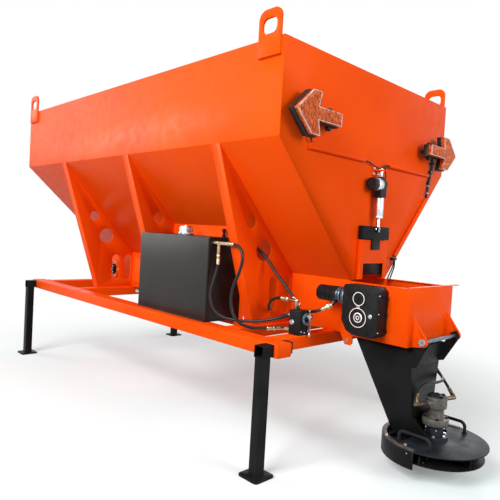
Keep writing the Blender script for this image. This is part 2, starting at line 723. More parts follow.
def cap_screw(mesh, place, axis, size):
    """Round head with a socket."""
    turn_profile(mesh, place, axis, [(0, 0), (size * 0.75, 0), (size * 0.75, size * 0.8),
                                     (size * 0.66, size * 0.95), (size * 0.42, size * 0.95),
                                     (size * 0.36, size * 0.4), (0, size * 0.4)], 14)


print("bolts ready")

# %% [markdown]
# ## Welds
# A weld is a half-round bead. The welder's hand moves on in small steps, so the bead swells and
# shrinks a little every few millimetres, and it thins out where it starts and stops.

# %% Make the weld bead
BEAD_STEP = 0.007
ARC = 4                         # faces across the half round


def weld(mesh, start, end, out, size):
    """Half-round rippled bead from start to end, raised towards 'out'."""
    start, end = Vector(start), Vector(end)
    run = end - start
    count = max(3, int(run.length / BEAD_STEP))
    out = Vector(out).normalized()
    side = run.normalized().cross(out)
    rows = []
    for i in range(count + 1):
        ripple = 0.86 + 0.14 * abs(math.sin(i * 1.7)) + 0.05 * math.sin(i * 0.61)
        reach = size * ripple * (0.2 if i in (0, count) else 1.0)
        centre = start + run * (i / count)
        angles = [math.pi * k / ARC for k in range(ARC + 1)]
        rows.append([mesh.verts.new(centre + side * math.cos(a) * reach
                                    + out * math.sin(a) * reach * 0.7) for a in angles])
    strip(mesh, rows)


print("weld bead ready")

# %% [markdown]
# ## Gearbox
# The gearbox is a cast case with two machined covers: a small one over the input and a large one
# over the output, each with a bright turned rim, and a narrow bright bridge between them. The rims
# are thin rings laid on the casting, which is simpler than cutting grooves and looks the same.

# %% Lay the gearbox rims
gear_face_x = gear_low.x
INPUT_R, OUTPUT_R = 0.0385, 0.0560
input_z = HUB.z + 0.112
rings = bmesh.new()
for z, radius in ((input_z, INPUT_R), (HUB.z, OUTPUT_R)):
    turn_profile(rings, (gear_face_x, HUB.y, z), -X,
                 [(radius - 0.0026, -0.001), (radius - 0.0022, 0.0012), (radius + 0.0022, 0.0012),
                  (radius + 0.0026, -0.001)], 56)
bridge_low, bridge_high = HUB.z + OUTPUT_R + 0.0005, input_z - INPUT_R
half_bridge = [(0.004, bridge_low), (0.010, bridge_low - 0.001),
               (0.008, (bridge_low + bridge_high) / 2), (0.010, bridge_high + 0.001),
               (0.004, bridge_high)]
for side in LEFT_AND_RIGHT:
    rings.faces.new([rings.verts.new((gear_face_x - 0.0008, HUB.y + side * w, z)) for w,
                     z in half_bridge])
new_piece("gearbox_rims", rings, pale_steel, "frame")
print("rim radii", INPUT_R, OUTPUT_R)

# %% [markdown]
# Inside the lower rim sits the steel hub. Its face is stepped, with three small screws round its
# middle and a dark seal round its edge.

# %% Face the hub
hub_centre = (hub_low.x, HUB.y, HUB.z)
hub_face, recess = bmesh.new(), bmesh.new()
turn_profile(hub_face, hub_centre, -X,
             [(0.0300, 0), (0.0300, 0.002), (0.0270, 0.0035), (0.0240, 0.0035), (0.0225, 0.0015),
              (0.0130, 0.0015), (0.0120, 0.0045), (0.0085, 0.0045), (0.0075, 0.001), (0, 0.001)],
             40)
for dy, dz in circle_of(3, 0.0180, 0.5):
    turn_profile(hub_face, (hub_low.x - 0.0015, HUB.y + dy, HUB.z + dz), -X,
                 [(0, 0), (0.0030, 0), (0.0026, 0.0016), (0, 0.0016)], 6)
smooth(new_piece("output_hub_face", hub_face, pale_steel, "frame"))
turn_profile(recess, hub_centre, -X, [(0.0130, 0.0017), (0.0224, 0.0017), (0.0224, 0.0010)], 40)
turn_profile(recess, hub_centre, -X, [(0.0072, 0.0012), (0, 0.0012)], 6)
turn_profile(recess, hub_centre, -X, [(0.0320, -0.004), (0.0365, -0.004), (0.0365, -0.002),
                                      (0.0320, -0.002)], 40)
smooth(new_piece("output_hub_seal", recess, black_casting, "frame"))
print("hub faced at x", round(hub_low.x, 3))

# %% [markdown]
# One bright plug closes the oil hole and small bright screws hold the rear cover. The case's larger
# bolts are painted black with it, so they form a second piece.

# %% Bolt the gearbox
screws, dark_screws = bmesh.new(), bmesh.new()
hex_bolt(screws, (gear_face_x + 0.005, HUB.y - 0.082, HUB.z + 0.018), -X, 0.012)
for z in (0.826, 0.935, 1.040):
    cap_screw(screws, (gear_face_x + 0.026, gear_low.y, z), -Y, 0.006)
smooth(new_piece("gearbox_plug_and_screws", screws, bright_steel, "frame"))
for z in (0.838, 0.930, 1.030):
    hex_bolt(dark_screws, (gear_high.x - 0.020, gear_low.y, z), -Y, 0.010)
hex_bolt(dark_screws, ((gear_low.x + gear_high.x) / 2, gear_low.y, 1.036), -Y, 0.013)
for y in (gear_low.y + 0.05, HUB.y, gear_high.y - 0.04):
    hex_bolt(dark_screws, (gear_low.x + 0.03, y, gear_high.z), Z, 0.007, washer=False)
smooth(new_piece("gearbox_cover_bolts", dark_screws, black_casting, "frame"))
print("gearbox bolted")

# %% [markdown]
# ## Conveyor motor
# The hydraulic motor is a stack of plates held by long bolts. It is held to the gearbox by a
# blue-grey flange, which is turned here in four steps, each with its own radius, and carries four
# bolt heads.

# %% Make the motor's flange
motor_low, motor_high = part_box("conveyor_motor")
motor_x, motor_z = (motor_low.x + motor_high.x) / 2, (motor_low.z + motor_high.z) / 2
flange = bmesh.new()
for y, radius in ((0.003, 0.056), (0.040, 0.0475), (0.059, 0.0500), (0.076, 0.0485)):
    turn_profile(flange, (motor_x, motor_low.y + y, motor_z), Y,
                 [(radius - 0.012, 0), (radius, 0), (radius + 0.001, 0.002),
                  (radius + 0.001, 0.016), (radius - 0.001, 0.019), (radius - 0.012, 0.019)], 44)
for angle in (0.8, 2.35, 3.93, 5.5):
    place = (motor_x + 0.047 * math.cos(angle), motor_low.y + 0.022,
             motor_z + 0.047 * math.sin(angle))
    hex_bolt(flange, place, Y, 0.009, washer=False)
smooth(new_piece("conveyor_motor_flange", flange, blue_grey, "frame"))
print("motor flange at", round(motor_low.y, 3))

# %% [markdown]
# Behind the flange come the gear rings and the end cover. Thin raised bands show where one plate
# meets the next, seven bolts hold the end cover, and a stub on the barrel's lower side carries a
# port.

# %% Make the motor's barrel
stack = bmesh.new()
for y in (0.118, 0.150, 0.182):
    turn_profile(stack, (motor_x, motor_low.y + y, motor_z), Y,
                 [(0.049, 0), (0.0508, 0.001), (0.0508, 0.005), (0.049, 0.006)], 44)
turn_profile(stack, (motor_x, motor_high.y, motor_z), Y,
             [(0.049, -0.003), (0.047, 0.003), (0.030, 0.003), (0.028, 0.007), (0, 0.007)], 44)
for dx, dz in circle_of(7, 0.039):
    hex_bolt(stack, (motor_x + dx, motor_high.y + 0.003, motor_z + dz), Y, 0.008, washer=False)
turn_profile(stack, (motor_x, motor_low.y + 0.075, motor_z), Vector((-0.72, 0.0, -0.70)),
             [(0.020, 0.030), (0.020, 0.055), (0.018, 0.058), (0, 0.058)], 24)
smooth(new_piece("conveyor_motor_stack", stack, black_casting, "frame"))
print("motor length", round(motor_high.y - motor_low.y, 3))

# %% [markdown]
# ## Control valve
# The flow valve is a black block with a grey dial plate on its rear face. The plate is a turned
# ring, and eleven small raised dots stand for its scale.

# %% Make the valve's dial
valve_low, valve_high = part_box("valve_block")
dial_x, dial_z = valve_high.x - 0.028, valve_high.z - 0.050
dial = bmesh.new()
turn_profile(dial, (dial_x, valve_low.y, dial_z), -Y,
             [(0.020, 0), (0.038, 0), (0.038, 0.0035), (0.036, 0.0045), (0.020, 0.0045)], 36)
for i in range(11):
    angle = math.radians(150 + 24 * i)
    dot = (dial_x + 0.031 * math.cos(angle), valve_low.y - 0.0045, dial_z + 0.031 * math.sin(angle))
    turn_profile(dial, dot, -Y, [(0.0016, 0), (0.0012, 0.0010), (0, 0.0010)], 8)
smooth(new_piece("valve_dial", dial, blue_grey, "frame"))
print("dial at z", round(dial_z, 3))

# %% [markdown]
# A bright knob sits in front of the dial, and the hand lever ends in a rounded grip. A large plug
# closes the block's side, a drain nipple points out of its lower corner, and small screws hold the
# face.

# %% Add the knob and the plugs
knob, plug = bmesh.new(), bmesh.new()
knob_place = Vector((valve_high.x - 0.018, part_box("valve_lever")[0].y, valve_high.z - 0.036))
turn_profile(knob, knob_place, -Y, [(0.019, -0.004), (0.0195, 0), (0.016, 0.003), (0.008, 0.003),
                                    (0.007, 0.006), (0, 0.006)], 30)
turn_profile(knob, knob_place + Vector((0, 0.008, -0.100)), -Z,
             [(0.0065, 0), (0.0085, 0.004), (0.0085, 0.016), (0.005, 0.021), (0, 0.022)], 18)
smooth(new_piece("valve_knob", knob, bright_steel, "frame"))
turn_profile(plug, (valve_low.x, valve_high.y - 0.034, valve_high.z - 0.072), -X,
             [(0, 0), (0.017, 0), (0.017, 0.003), (0.0155, 0.0045), (0.0155, 0.008), (0.014, 0.010),
              (0.009, 0.010), (0.008, 0.006), (0, 0.006)], 26)
turn_profile(plug, (valve_high.x - 0.004, valve_low.y + 0.02, valve_low.z + 0.020),
             Vector((0.7, -0.7, 0)), [(0, 0), (0.010, 0), (0.010, 0.006), (0.006, 0.008),
                                      (0.006, 0.020), (0.0045, 0.023), (0, 0.023)], 18)
for x, z in ((0.022, 0.022), (0.052, 0.016), (0.078, 0.060)):
    cap_screw(plug, (valve_low.x + x, valve_low.y, valve_low.z + z), -Y, 0.006)
smooth(new_piece("valve_plugs", plug, bright_steel, "frame"))
print("knob at z", round(knob_place.z, 3))

# %% [markdown]
# ## Hose ends
# Every hose ends in a crimped ferrule and a swivel nut. The ferrule is a ribbed sleeve of plated
# steel that grips the rubber, and the six-sided nut turns on the union behind it. Both follow the
# first or last straight run of the hose, so they sit in line with it.

# %% Crimp the hose ends
def ferrule(mesh, end, before, radius):
    """Crimped sleeve over a hose end, with its swivel nut."""
    inward = (before - end).normalized()
    profile = [(radius * 1.02, 0.046)]
    for i in range(4):
        base = 0.042 - i * 0.009
        profile += [(radius * 1.30, base), (radius * 1.30, base - 0.005),
                    (radius * 1.20, base - 0.007)]
    profile += [(radius * 1.25, 0.004), (radius * 0.95, 0.002)]
    turn_profile(mesh, end, inward, profile, 22)
    nut = radius * 1.62
    turn_profile(mesh, end, -inward, [(radius * 0.9, -0.004), (nut * 0.90, -0.003), (nut, 0),
                                      (nut, 0.015), (nut * 0.90, 0.018), (radius * 0.9, 0.018)], 6,
                 0.4)


black_end = bmesh.new()
FRAME_HOSES = ("hose_return", "hose_loop", "hose_supply", "hose_feed", "hose_motor")
CHUTE_HOSES = ("hose_spinner_left", "hose_spinner_right")
for group, names, plating, body in (("frame_hose_ends", FRAME_HOSES, yellow_plating, "frame"),
                                    ("chute_hose_ends", CHUTE_HOSES, dull_brass, "chute")):
    sleeves = bmesh.new()
    for name in names:
        route = [placed(p) for p in CORDS[name][0]]
        radius = CORDS[name][2] / 2
        ferrule(sleeves, route[0], route[1], radius)
        ferrule(black_end if name == "hose_return" else sleeves, route[-1], route[-2], radius)
    smooth(new_piece(group, sleeves, plating, body), 30)
smooth(new_piece("valve_elbow_end", black_end, lamp_black, "frame"), 30)
print("hoses with crimped ends:", len(FRAME_HOSES + CHUTE_HOSES))

# %% [markdown]
# ## Tank
# The oil tank is a folded steel box. It is filled through a wide cap, which has a gripping edge of
# small upright ridges, a stepped top and a ring of screws in the flange below it.

# %% Grip the filler cap
tank_low, tank_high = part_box("tank")
cap_low, cap_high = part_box("filler_cap")
cap_x, cap_y = (cap_low.x + cap_high.x) / 2, (cap_low.y + cap_high.y) / 2
grip = bmesh.new()
for dx, dy in circle_of(28, 0.0475):
    turn_profile(grip, (cap_x + dx, cap_y + dy, cap_low.z + 0.024), Z,
                 [(0, 0), (0.0030, 0.001), (0.0034, 0.016), (0.0030, 0.032), (0, 0.033)], 6)
turn_profile(grip, (cap_x, cap_y, cap_high.z), Z,
             [(0.047, -0.003), (0.044, 0.003), (0.036, 0.005), (0.034, 0.003), (0.012, 0.003),
              (0.011, 0.009), (0, 0.010)], 40)
for dx, dy in circle_of(6, 0.054):
    cap_screw(grip, (cap_x + dx, cap_y + dy, cap_low.z + 0.018), Z, 0.005)
smooth(new_piece("filler_cap_grip", grip, bright_steel, "frame"))
print("filler cap at", round(cap_x, 3), round(cap_y, 3))

# %% [markdown]
# A bright plug on a long neck drains the tank at the front, and a black breather near the inner
# edge of the lid lets air in as the oil goes down. The box is welded along its bottom and up one
# corner.

# %% Plug and weld the tank
drain, breather, seam = bmesh.new(), bmesh.new(), bmesh.new()
turn_profile(drain, (tank_low.x + 0.022, tank_high.y, tank_low.z + 0.105), Y,
             [(0, 0), (0.018, 0), (0.018, 0.006), (0.0145, 0.008), (0.0145, 0.036), (0.018, 0.038),
              (0.018, 0.050), (0, 0.052)], 6, 0.2)
smooth(new_piece("tank_plugs", drain, bright_steel, "frame"))
turn_profile(breather, (tank_high.x - 0.030, tank_low.y + 0.172, tank_high.z), Z,
             [(0, 0), (0.014, 0), (0.014, 0.014), (0.009, 0.016), (0.009, 0.034), (0.015, 0.036),
              (0.015, 0.056), (0.012, 0.062), (0, 0.063)], 28)
smooth(new_piece("tank_breather", breather, black_casting, "frame"))
seam_z, corner = tank_low.z + 0.006, (tank_low.x + 0.003, tank_low.y + 0.003)
weld(seam, (tank_low.x, tank_low.y + 0.004, seam_z), (tank_low.x, tank_high.y - 0.004, seam_z), -X,
     0.004)
weld(seam, (tank_low.x + 0.004, tank_low.y, seam_z), (tank_high.x - 0.004, tank_low.y, seam_z), -Y,
     0.004)
weld(seam, (*corner, tank_low.z + 0.01), (*corner, tank_high.z - 0.004), Vector((-1, -1, 0)), 0.003)
smooth(new_piece("tank_seams", seam, tank_black, "frame"))
print("tank height", round(tank_high.z - tank_low.z, 3))

# %% [markdown]
# ## Arrow lamps
# Each lamp is an amber arrow in a pale frame. Both the frame and the lens follow the arrow's
# outline, a little inside or outside it, so two helpers come first: one moves an outline inwards,
# the other tells whether a point lies within it.

# %% Draw the arrows
def inside(x, z, outline):
    """Whether a point is inside a closed outline."""
    hit = False
    for (x0, z0), (x1, z1) in zip(outline, outline[1:] + outline[:1]):
        if (z0 > z) != (z1 > z) and x < (x1 - x0) * (z - z0) / (z1 - z0) + x0:
            hit = not hit
    return hit


def shrink(outline, step):
    """Move an outline inwards, or outwards for a negative step."""
    area = sum(a[0] * b[1] - b[0] * a[1] for a, b in zip(outline, outline[1:] + outline[:1]))
    turn = 1.0 if area > 0 else -1.0
    moved = []
    for i, here in enumerate(outline):
        before, after = outline[i - 1], outline[(i + 1) % len(outline)]
        a = (Vector(here) - Vector(before)).normalized()
        b = (Vector(after) - Vector(here)).normalized()
        na, nb = Vector((-a.y, a.x)) * turn, Vector((-b.y, b.x)) * turn
        corner = (na + nb) / max(0.35, 1.0 + na.dot(nb))
        moved.append(tuple(Vector(here) + corner * step))
    return moved


lens_low, lens_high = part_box("lamp_lenses")
lamp_z = (lens_low.z + lens_high.z) / 2
head, neck = (lens_high.z - lens_low.z) / 2, 0.036
tip, tail = lens_high.x, lens_high.x - 0.388
half_arrow = [(tip, 0), (tip - 0.127, head), (tip - 0.197, head), (tip - 0.177, neck), (tail, neck)]
whole_arrow = half_arrow + [(x, -dz) for x, dz in reversed(half_arrow[1:])]
ARROWS = {side: [(side * x, lamp_z + dz) for x, dz in whole_arrow] for side in LEFT_AND_RIGHT}
print("corners in an arrow:", len(whole_arrow))

# %% [markdown]
# The frame is a narrow raised band round the edge. Four loops of corners, two outside and two
# inside, are joined into a strip that runs over the edge of the lens.

# %% Frame the lamps
rims = bmesh.new()
for arrow in ARROWS.values():
    outer, inner = shrink(arrow, -0.0008), shrink(arrow, 0.0035)
    strip(rims, [[rims.verts.new((x, lens_low.y - height, z)) for x, z in path] for path, height in
                 ((outer, -0.004), (outer, 0.0022), (inner, 0.0022), (inner, -0.002))], closed=True)
new_piece("lamp_rims", rims, pale_rim, "frame")
print("lamp frames:", len(ARROWS))

# %% [markdown]
# A lamp lens is moulded with a grid of small prisms that scatter the light. Here the grid is real
# geometry: rows of low pyramids with flat tops, kept only where all four corners lie in the arrow.

# %% Mould the lenses
PRISM_PITCH = 0.0105
half = PRISM_PITCH * 0.46
CORNERS = ((-1, -1), (1, -1), (1, 1), (-1, 1))
columns, rows = int(0.40 / PRISM_PITCH), int(2 * head / PRISM_PITCH)
prisms = bmesh.new()
for side, arrow in ARROWS.items():
    field = shrink(arrow, 0.006)
    for c in range(columns + 1):
        for r in range(rows + 1):
            x, z = side * (tip - c * PRISM_PITCH), lamp_z - head + r * PRISM_PITCH
            if all(inside(x + dx * half, z + dz * half, field) for dx, dz in CORNERS):
                base, top = [[prisms.verts.new((x + dx * reach, lens_low.y + depth, z + dz * reach))
                              for dx, dz in CORNERS] for reach,
                             depth in ((half, 0.0005), (half / 3, -0.0022))]
                strip(prisms, [base, top], closed=True)
                prisms.faces.new(top)
print("prism faces:", len(prisms.faces))
new_piece("lamp_prisms", prisms, amber, "frame")

# %% [markdown]
# Each lamp stands off the wall on four black feet. They are turned with eight sides, like the
# moulded plastic spacers they are.

# %% Add the lamps' feet
feet = bmesh.new()
for side in LEFT_AND_RIGHT:
    for x in (tip - 0.144, tail + 0.054):
        for z in (-1, 1):
            turn_profile(feet, (side * x, REAR_WALL_Y - 0.045, lamp_z + z * (neck + 0.008)), -Y,
                         [(0.020, 0), (0.022, 0.004), (0.022, 0.020), (0.018, 0.026), (0, 0.026)],
                         8, 0.39)
smooth(new_piece("lamp_feet", feet, lamp_black, "frame"))
print("feet stand off", REAR_WALL_Y - lens_low.y)

# %% [markdown]
# The left lamp's cable leaves through a short rubber boot that bends in towards the wall. It is a
# row of round hoops along a path, joined into a tube and closed at both ends.

# %% Bend the cable boot
BOOT_R = 0.0065
boot = bmesh.new()
boot_path = [Vector((x, y, lamp_z - drop)) for x, y, drop in
             ((-0.7260, -0.0440, 0.040), (-0.7240, -0.0420, 0.075), (-0.7180, -0.0330, 0.108),
              (-0.7100, -0.0210, 0.128), (-0.6960, -0.0155, 0.136))]
hoops = []
for i, p in enumerate(boot_path):
    along = boot_path[min(i + 1, len(boot_path) - 1)] - boot_path[max(i - 1, 0)]
    _, side_way, up_way = frame_about(along)
    centre = p + Vector((0, REAR_WALL_Y, 0))
    hoops.append([boot.verts.new(centre + side_way * a + up_way * b) for a,
                  b in circle_of(12, BOOT_R)])
strip(boot, hoops, closed=True)
boot.faces.new(hoops[0])
boot.faces.new(hoops[-1])
smooth(new_piece("lamp_boot", boot, lamp_black, "frame"))
print("boot hoops:", len(hoops))

# %% [markdown]
# ## Gate actuator
# An electric cylinder lifts the gate. Its motor lies across the gear housing, with a bright sleeve
# between the black end cap and the housing, and the polished tube below carries a ring at each end.

# %% Turn the actuator's sleeves
act_low, act_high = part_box("actuator_motor")
tube_low, tube_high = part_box("actuator_body")
act_y = (tube_low.y + tube_high.y) / 2
motor_axis_z = act_high.z - 0.053
sleeve = bmesh.new()
turn_profile(sleeve, (act_low.x + 0.037, act_y, motor_axis_z), X,
             [(0.0405, 0), (0.0420, 0.002), (0.0420, 0.052), (0.0405, 0.054)], 48)
turn_profile(sleeve, (0, act_y, tube_low.z), Z,
             [(0.012, -0.001), (0.0285, -0.001), (0.0290, 0.002), (0.0290, 0.010), (0.0278, 0.012)],
             40)
turn_profile(sleeve, (0, act_y, tube_high.z - 0.012), Z,
             [(0.009, 0), (0.0125, 0.001), (0.0125, 0.009), (0.009, 0.010)], 24)
smooth(new_piece("actuator_sleeve", sleeve, actuator_alloy, "frame"))
print("actuator motor axis at z", round(motor_axis_z, 3))

# %% [markdown]
# The end cap is a moulded cup held by four screws, with a row of three small screw covers on the
# housing and a cable gland at the other end.

# %% Cap the actuator's motor
end_cap = bmesh.new()
turn_profile(end_cap, (act_low.x, act_y, motor_axis_z), -X,
             [(0.0412, -0.034), (0.0425, -0.030), (0.0425, -0.004), (0.039, 0.002), (0.030, 0.003),
              (0.029, 0.001), (0, 0.001)], 44)
for dy, dz in circle_of(4, 0.035, 0.6):
    cap_screw(end_cap, (act_low.x - 0.002, act_y + dy, motor_axis_z + dz), -X, 0.005)
for z in (0.020, 0.052, 0.080):
    turn_profile(end_cap, (act_high.x - 0.022, act_y - 0.030, tube_low.z + 0.132 + z), -Y,
                 [(0.004, 0), (0.004, 0.002), (0, 0.002)], 10)
turn_profile(end_cap, (act_high.x, act_y + 0.004, act_high.z - 0.011), X,
             [(0, 0), (0.0085, 0), (0.0085, 0.005), (0.0065, 0.007), (0.0065, 0.013),
              (0.0050, 0.015), (0, 0.015)], 16)
smooth(new_piece("actuator_end_cap", end_cap, lamp_black, "frame"))
print("end cap at x", round(act_low.x, 3))

# %% [markdown]
# A clevis pin joins the rod's eye to the gate, so its clips ride with the gate. Four bolts and a
# nut hold the bracket at the other end, which stays with the frame.

# %% Pin the rod and bolt the bracket
rod_low, rod_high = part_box("actuator_rod")
pin_z = rod_low.z + 0.018
clip, bracket = bmesh.new(), bmesh.new()
for side in LEFT_AND_RIGHT:
    turn_profile(clip, (rod_high.x * side, act_y, pin_z), X * side,
                 [(0.0085, -0.003), (0.0095, -0.002), (0.0095, 0.0015), (0.0065, 0.003),
                  (0, 0.003)], 20)
hex_bolt(clip, (0, rod_low.y, pin_z + 0.002), -Y, 0.007, washer=False)
smooth(new_piece("gate_clevis_clips", clip, bright_steel, "gate"))
for x in (-0.028, 0.028):
    for z in (1.797, 1.833):
        hex_bolt(bracket, (x, REAR_WALL_Y - 0.008, z), -Y, 0.010)
turn_profile(bracket, (0, act_y, tube_high.z + 0.008), Z,
             [(0, 0), (0.0125, 0), (0.0125, 0.006), (0.006, 0.007), (0.006, 0.011), (0, 0.012)], 6)
smooth(new_piece("actuator_bracket_bolts", bracket, bright_steel, "frame"))
print("clevis pin at z", round(pin_z, 3))

# %% [markdown]
# ## Spinner
# The spinner hangs on the chute, so all of this rides with the chute. Its hydraulic motor has a
# bolted end plate on top, raised bands down its side, and a cast pedestal that spreads its weight
# on the cover.

# %% Band the spinner's motor
spin_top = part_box("spinner_motor")[1].z
cover_low, cover_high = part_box("cover_plate")
COVER_TOP = 0.196
COVER_R = (cover_high.x - cover_low.x) / 2
PEDESTAL_TOP = cover_high.z
bands = bmesh.new()
for z in (spin_top - 0.020, spin_top - 0.046):
    turn_profile(bands, (0, SPINNER.y, z), Z,
                 [(0.0595, 0), (0.0612, 0.001), (0.0612, 0.009), (0.0595, 0.010)], 44)
turn_profile(bands, (0, SPINNER.y, PEDESTAL_TOP), Z,
             [(0.0745, -0.001), (0.0762, 0.003), (0.0762, 0.034), (0.0735, 0.0392),
              (0.0480, 0.0392), (0.0465, 0.046)], 52)
smooth(new_piece("spinner_motor_bands", bands, motor_casting, "chute"))
print("spinner motor top", round(spin_top, 3))

# %% [markdown]
# Black bolts hold the end plate and the motor's lower flange, and bright ones the pedestal's foot.
# Small bright screws point outwards from the pedestal's neck.

# %% Bolt the spinner's motor
head_bolts, bright_bolts = bmesh.new(), bmesh.new()
turn_profile(head_bolts, (0, SPINNER.y, spin_top), Z,
             [(0.0585, -0.001), (0.0560, 0.004), (0.030, 0.004), (0.028, 0.009), (0, 0.009)], 44)
for dx, dy in circle_of(4, 0.043, math.pi / 4 + 0.25):
    hex_bolt(head_bolts, (dx, SPINNER.y + dy, spin_top + 0.004), Z, 0.012)
turn_profile(head_bolts, (0, SPINNER.y, spin_top + 0.009), Z,
             [(0.014, -0.001), (0.014, 0.008), (0.011, 0.011), (0, 0.011)], 6)
for dx, dy in circle_of(4, 0.0615, 0.6):
    hex_bolt(head_bolts, (dx, SPINNER.y + dy, PEDESTAL_TOP + 0.039), Z, 0.011)
smooth(new_piece("spinner_head_bolts", head_bolts, black_casting, "chute"))
for dx, dy in circle_of(6, 0.0635, 0.35):
    hex_bolt(bright_bolts, (dx, SPINNER.y + dy, COVER_TOP + 0.022), Z, 0.011)
for dx, dy in circle_of(4, 0.048, 0.6):
    cap_screw(bright_bolts, (dx, SPINNER.y + dy, COVER_TOP + 0.060), (dx, dy, 0), 0.008)
smooth(new_piece("spinner_bolts", bright_bolts, bright_steel, "chute"))
print("spinner bolted")

# %% [markdown]
# ## Cover plate
# A cover plate over the disc keeps the salt from flying forward. Its skirt ends in a rolled rim
# that stands a little proud of the plate, a strip of small sections swept round just over half a
# circle.

# %% Roll the skirt's rim
STEPS = 72
INNER_R = COVER_R - 0.026
rim_section = [(COVER_R - 0.0005, -0.003), (COVER_R - 0.0005, 0.0035), (COVER_R - 0.003, 0.0055),
               (INNER_R, 0.0055), (INNER_R - 0.001, 0.0002)]
rim = bmesh.new()
sections = []
for i in range(STEPS + 1):
    angle = math.radians(-5) + math.radians(190) * i / STEPS
    sections.append([rim.verts.new((radius * math.cos(angle), SPINNER.y + radius * math.sin(angle),
                                    COVER_TOP + rise)) for radius, rise in rim_section])
strip(rim, sections)
rim.faces.new(sections[0])
rim.faces.new(sections[-1])
smooth(new_piece("skirt_rim", rim, worn_rim, "chute"))
print("cover radius", round(COVER_R, 3))

# %% [markdown]
# The two handles stand on flat round feet. The plate is held by a few bright bolts, two towards its
# front edge and one at each side, and a small bolt holds the skirt near each of its ends.

# %% Fix the handles and the plate
feet, plate_bolts = bmesh.new(), bmesh.new()
handle_low, handle_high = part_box("handles")
for side in LEFT_AND_RIGHT:
    for y in (handle_low.y + 0.010, handle_high.y - 0.010):
        turn_profile(feet, (side * 0.230, y, COVER_TOP), Z,
                     [(0, 0), (0.0175, 0), (0.0180, 0.002), (0.0170, 0.0045), (0.0115, 0.006),
                      (0.0102, 0.010), (0, 0.010)], 24)
smooth(new_piece("handle_feet", feet, black_paint, "chute"))
for angle in (2.45, 0.70):
    place = (0.292 * math.cos(angle), SPINNER.y + 0.292 * math.sin(angle), COVER_TOP + 0.0055)
    hex_bolt(plate_bolts, place, Z, 0.011)
for side in LEFT_AND_RIGHT:
    hex_bolt(plate_bolts, (side * 0.264, SPINNER.y + 0.045, COVER_TOP + 0.0055), Z, 0.012)
    hex_bolt(plate_bolts, (side * (COVER_R - 0.001), SPINNER.y + 0.012, COVER_TOP - 0.022),
             X * side, 0.004)
smooth(new_piece("cover_bolts", plate_bolts, bright_steel, "chute"))
print("cover top", COVER_TOP)

# %% [markdown]
# Two gussets stiffen the corner between the chute's rear plate and the cover. Each is a flat
# five-cornered plate that follows the chute's sloping side and so leans inwards towards the bottom.

# %% Stiffen the chute
CHUTE_PLATE_Y = REAR_WALL_Y - 0.4445
GUSSET = [(0, 0.197), (0, 0.318), (-0.014, 0.318), (-0.112, 0.216), (-0.112, 0.197)]
gussets = bmesh.new()
for side in LEFT_AND_RIGHT:
    faces = []
    for step in (0.002, 0.007):
        faces.append([gussets.verts.new((side * (0.202 - 0.15 * (PIVOT.z - z) - step),
                                         CHUTE_PLATE_Y + dy, z)) for dy, z in GUSSET])
        gussets.faces.new(faces[-1])
    strip(gussets, faces, closed=True)
new_piece("chute_gussets", gussets, black_paint, "chute")
print("gusset corners:", len(GUSSET))

# %% [markdown]
# ## Pivot
# The chute hangs from its pin between two ears on the drop box. A collar keeps the pin in place at
# each side, and a latch bolt at each side, further forward, holds the chute down.

# %% Fit the pivot
collars = bmesh.new()
for side in LEFT_AND_RIGHT:
    turn_profile(collars, (side * 0.220, PIVOT.y, PIVOT.z), X * side,
                 [(0.012, 0), (0.021, 0.0), (0.021, 0.010), (0.019, 0.012), (0.012, 0.012)], 28)
    turn_profile(collars, (side * pin_high.x, PIVOT.y, PIVOT.z), X * side,
                 [(0.0118, -0.001), (0.0105, 0.0015), (0.0040, 0.0015), (0.0034, -0.001),
                  (0, -0.001)], 24)
    hex_bolt(collars, (side * 0.270, REAR_WALL_Y - 0.0430, 0.722), X * side, 0.013)
smooth(new_piece("pivot_collars", collars, dull_steel, "frame"))
print("pivot pin at z", round(PIVOT.z, 3))

# %% [markdown]
# ## Disc
# Six vanes throw the salt outwards, and each is held to the disc by three bolts beside it. A large
# nut under the disc holds it on the motor's shaft. All of these turn with the disc.

# %% Bolt the vanes
VANES, FIRST_VANE = 6, 10       # count, and degrees to the first one
VANE_BOLT_RADII = (0.10, 0.17, 0.24)
vane_bolts = bmesh.new()
for i in range(VANES):
    angle = math.radians(360 / VANES * i + FIRST_VANE)
    for radius in VANE_BOLT_RADII:
        x, y = radius * math.cos(angle), SPINNER.y + radius * math.sin(angle)
        hex_bolt(vane_bolts, (x - 0.012 * math.sin(angle), y + 0.012 * math.cos(angle),
                              disc_low.z + 0.020), Z, 0.007, washer=False)
turn_profile(vane_bolts, (0, SPINNER.y, disc_low.z), -Z,
             [(0.030, -0.002), (0.030, 0.004), (0.026, 0.006), (0.016, 0.006), (0.014, 0.010),
              (0, 0.010)], 6)
smooth(new_piece("disc_bolts", vane_bolts, bright_steel, "disc"))
print("disc bolted")

# %% [markdown]
# The two ears that carry the chute's pin are welded to the drop box with one upright bead each,
# painted over in the machine's orange.

# %% Weld the ears
EAR_X = 0.182
ear_beads = bmesh.new()
for side in LEFT_AND_RIGHT:
    low_end, high_end = [(side * EAR_X, DROP_BOX_REAR_Y - 0.002, z) for z in (0.770, 0.900)]
    weld(ear_beads, high_end, low_end, -Y, 0.0035)
smooth(new_piece("ear_welds", ear_beads, orange, "frame"))
print("ear beads at x", EAR_X)

# %% [markdown]
# ## Shaft bearings
# The shafts turn in cast flange bearings: a square-shouldered body with four bolts, a round seal,
# and the shaft's faced end in the middle. The tail bearings sit on a round stiffener with six
# bolts.

